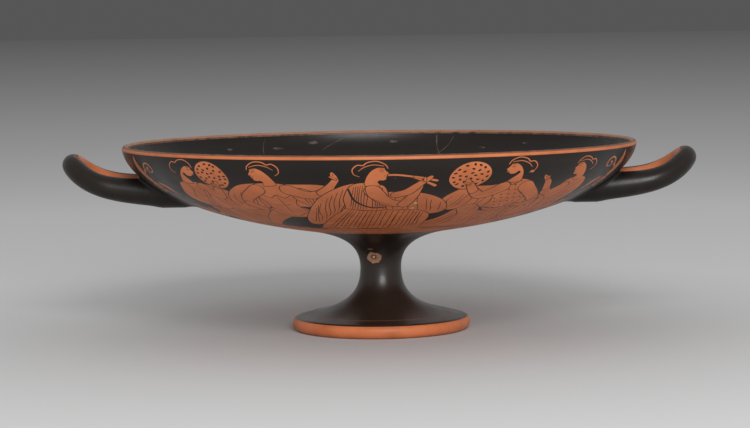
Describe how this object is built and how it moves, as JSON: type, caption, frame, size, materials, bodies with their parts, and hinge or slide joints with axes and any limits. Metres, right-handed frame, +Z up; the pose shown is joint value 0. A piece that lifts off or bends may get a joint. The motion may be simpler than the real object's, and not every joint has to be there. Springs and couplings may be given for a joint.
{
  "type": "kylix drinking cup",
  "caption": "Shallow footed drinking cup of black-slipped clay with upswept horseshoe handles and a painted frieze of reserved figures.",
  "frame": {"origin": "centre of the foot's resting ring, on the standing surface", "axes": "+Z up along the cup's axis, +X towards one handle, -Y the front of the frieze"},
  "size_m": [0.3858, 0.3116, 0.1144],
  "materials": {
    "slipped_clay": "thin glossy brown-black slip over orange clay"
  },
  "bodies": {
    "root": {"kylix": "slipped_clay"}
  },
  "joints": []
}
